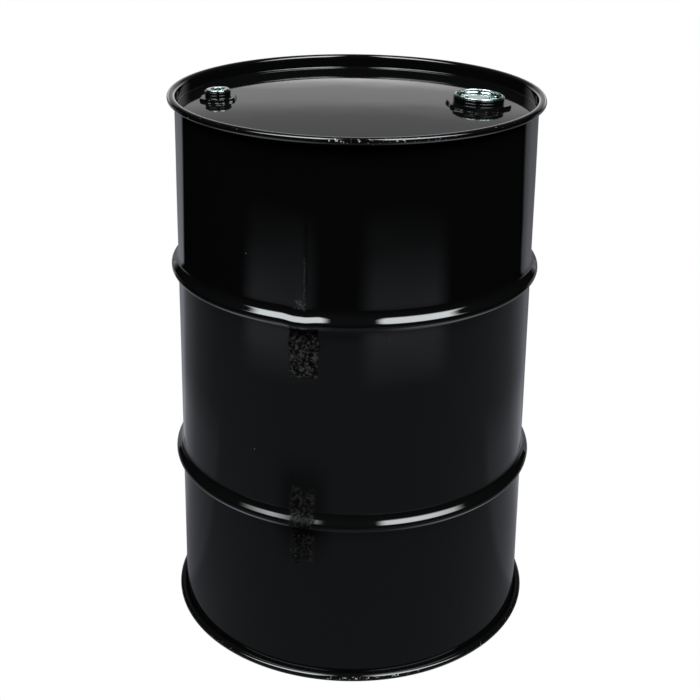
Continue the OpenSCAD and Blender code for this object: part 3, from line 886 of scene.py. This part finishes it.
def floor_level(s, psi, distance, steep):
    """Painted light and shade of the floor, seen in the drum: painted shade in front, where it paints
    the drum's shadow, and to the sides, brighter behind, with painted pools of light to either side in
    front and painted light near the drum at its sides.
    Seen steeply from above its painted sheen is bright, except in front."""
    # painted light and shade round the drum: dim in front, where it paints the drum's shadow, brighter
    # behind
    painted_floor_shade_and_light = s.steps(psi, (-180.0, 0.33), (-168.0, 0.3), (-158.0, 0.22), (-148.0, 0.32),
                          (-138.0, 0.42), (-130.0, 0.22), (-110.0, 0.125), (-90.0, 0.1),
                          (-60.0, 0.13), (90.0, 0.13), (110.0, 0.15), (130.0, 0.24),
                          (138.0, 0.29), (146.0, 0.22), (158.0, 0.15), (168.0, 0.25), (180.0, 0.38))
    # painted light: the floor is brighter near the drum at its sides
    painted_light_beside = s.between(s.math("ABSOLUTE", psi), 88.0, 132.0, 8.0)
    near = 1.0 + 0.6 * painted_light_beside * s.ramp(distance, 0.8, 1.1, 1.0, 0.0)
    open_end = s.ramp(psi, 124.0, 129.0) + s.ramp(psi, -137.0, -133.0, 1.0, 0.0)
    lit = s.math("MAXIMUM", s.ramp(distance, 1.55, 1.78, 1.0, 0.0), open_end)
    # painted pools of light on the floor
    painted_light_pool = s.steps(distance, (1.3, 0.0), (1.6, 0.26), (1.8, 0.26), (2.0, 0.18), (2.3, 0.07), (2.7, 0.0))
    painted_light_pools = s.between(psi, -58.0, -32.0, 14.0) + s.between(psi, 14.0, 46.0, 14.0)
    # painted sheen on the floor, seen steeply
    painted_floor_sheen = s.ramp(steep, 0.6, 0.85) * s.ramp(s.math("ABSOLUTE", psi), 12.0, 52.0, 0.08, 0.9)
    return painted_floor_shade_and_light * near * lit + painted_light_pool * painted_light_pools + painted_floor_sheen


def make_floor():
    """A plain floor that camera rays see as white. Reflections see it glow with the painted light and
    shade of a dim studio's floor: the drum's painted shadow in front, painted pools of light, a painted
    sheen and a cool tint.
    It can't be seen from below."""
    mesh = bpy.data.meshes.new("floor")
    corners = ((-1, -1), (1, -1), (1, 1), (-1, 1))
    mesh.from_pydata([(x * FLOOR_SIZE, y * FLOOR_SIZE, 0) for x, y in corners], [], [(0, 1, 2, 3)])
    floor = bpy.data.objects.new("floor", mesh)
    scene.collection.objects.link(floor)
    material, s = new_material("floor")
    right, towards, camera_z = camera_sides(s)
    place = s.node("ShaderNodeNewGeometry", out=0)
    x, y, _ = s.split(place)
    flat = s.combine(x, y, 0.0)
    distance = s.vector("LENGTH", flat, out=1)
    steep = s.split(s.node("ShaderNodeNewGeometry", out=4))[2]
    level = floor_level(s, studio_angle(s, flat, right, towards), distance, steep)
    seen = s.node("ShaderNodeLightPath", out=0)
    level = s.math("MAXIMUM", level, seen)
    tint = s.colours(seen, (0.95, 0.99, 1.09, 1.0), (1.0, 1.0, 1.0, 1.0))
    # the floor glows with its painted light and shade for reflections, and white for camera rays
    painted_floor_glow = s.node("ShaderNodeEmission", (tint, level))
    clear = s.node("ShaderNodeBsdfTransparent")
    behind = s.node("ShaderNodeNewGeometry", out=6)
    below = s.math("MAXIMUM", behind, s.math("LESS_THAN", camera_z, 0.0))
    s.node("ShaderNodeOutputMaterial", (s.node("ShaderNodeMixShader", (below, painted_floor_glow, clear)),))
    material.cycles.emission_sampling = "NONE"
    mesh.materials.append(material)


def make_world():
    """Two slanted light boxes high in front, a wall behind that is brightest low down, and darkness.
    Camera rays see white."""
    world = bpy.data.worlds.new("studio")
    scene.world = world
    world.use_nodes = True
    s = Shader(world.node_tree)
    right, towards, camera_z = camera_sides(s)
    way = s.node("ShaderNodeTexCoord", out=0)
    psi = studio_angle(s, way, right, towards)
    height = s.math("ARCSINE", s.split(way)[2]) * (180 / math.pi)
    away = s.math("ABSOLUTE", psi)
    slant = height + 0.2 * away
    left = s.between(psi, -73.0, -29.0, BOX_SOFT) * s.ramp(slant, 50.0, 59.0)
    right_box = s.between(psi, 27.0, 73.0, BOX_SOFT) * s.ramp(slant, 46.5, 57.5)
    boxes = (left + right_box) * s.ramp(height, 78.0, 81.0, 1.0, 0.0)
    wall = s.steps(height, (8.8, 1.3), (9.6, 0.9), (10.8, 0.58), (13.2, 0.6), (14.6, 0.42),
                   (16.0, 0.32), (19.5, 0.32), (20.6, 0.05), (32.0, 0.1), (60.0, 0.1))
    above = wall * s.ramp(away, 140.0, 156.0) + boxes * BOX_LIGHT
    below = s.ramp(away, 120.0, 132.0, 0.0, 0.35)
    light = s.math("GREATER_THAN", height, 0.0)
    level = below + light * (above - below)
    seen = s.node("ShaderNodeLightPath", out=0)
    level = level + seen * (1.0 - level)
    tint = s.colours(boxes * (1.0 - seen), (1.0, 1.0, 1.0, 1.0), (0.93, 0.98, 1.0, 1.0))
    s.node("ShaderNodeOutputWorld", (s.node("ShaderNodeBackground", (tint, level)),))
    world.cycles.sampling_method = "MANUAL"
    world.cycles.sample_map_resolution = 1024


# ---------------------------------------------------------------- the scene

enamel, zinc, rubber = make_enamel(), make_zinc(), make_rubber()
build_shell(enamel)
build_top_head(enamel)
build_bottom_head(enamel)
build_large_plug(zinc)
build_small_plug(zinc)
build_gasket("large_plug_seal", LARGE, rubber, "large_lift", "large_plug_gasket")
build_gasket("small_plug_seal", SMALL, rubber, "small_lift", "small_plug_gasket")

for nodes, material in ((("large_flange", "small_flange"), make_flange_steel()),
                        (("large_flange_gasket", "small_flange_gasket"), rubber),
                        (("top_seam_compound", "bottom_seam_compound"), make_compound())):
    for node in nodes:
        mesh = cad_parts[node].data
        mesh.materials.clear()
        mesh.materials.append(material)

make_floor()
make_world()
make_camera()
scene.view_settings.view_transform = "Standard"
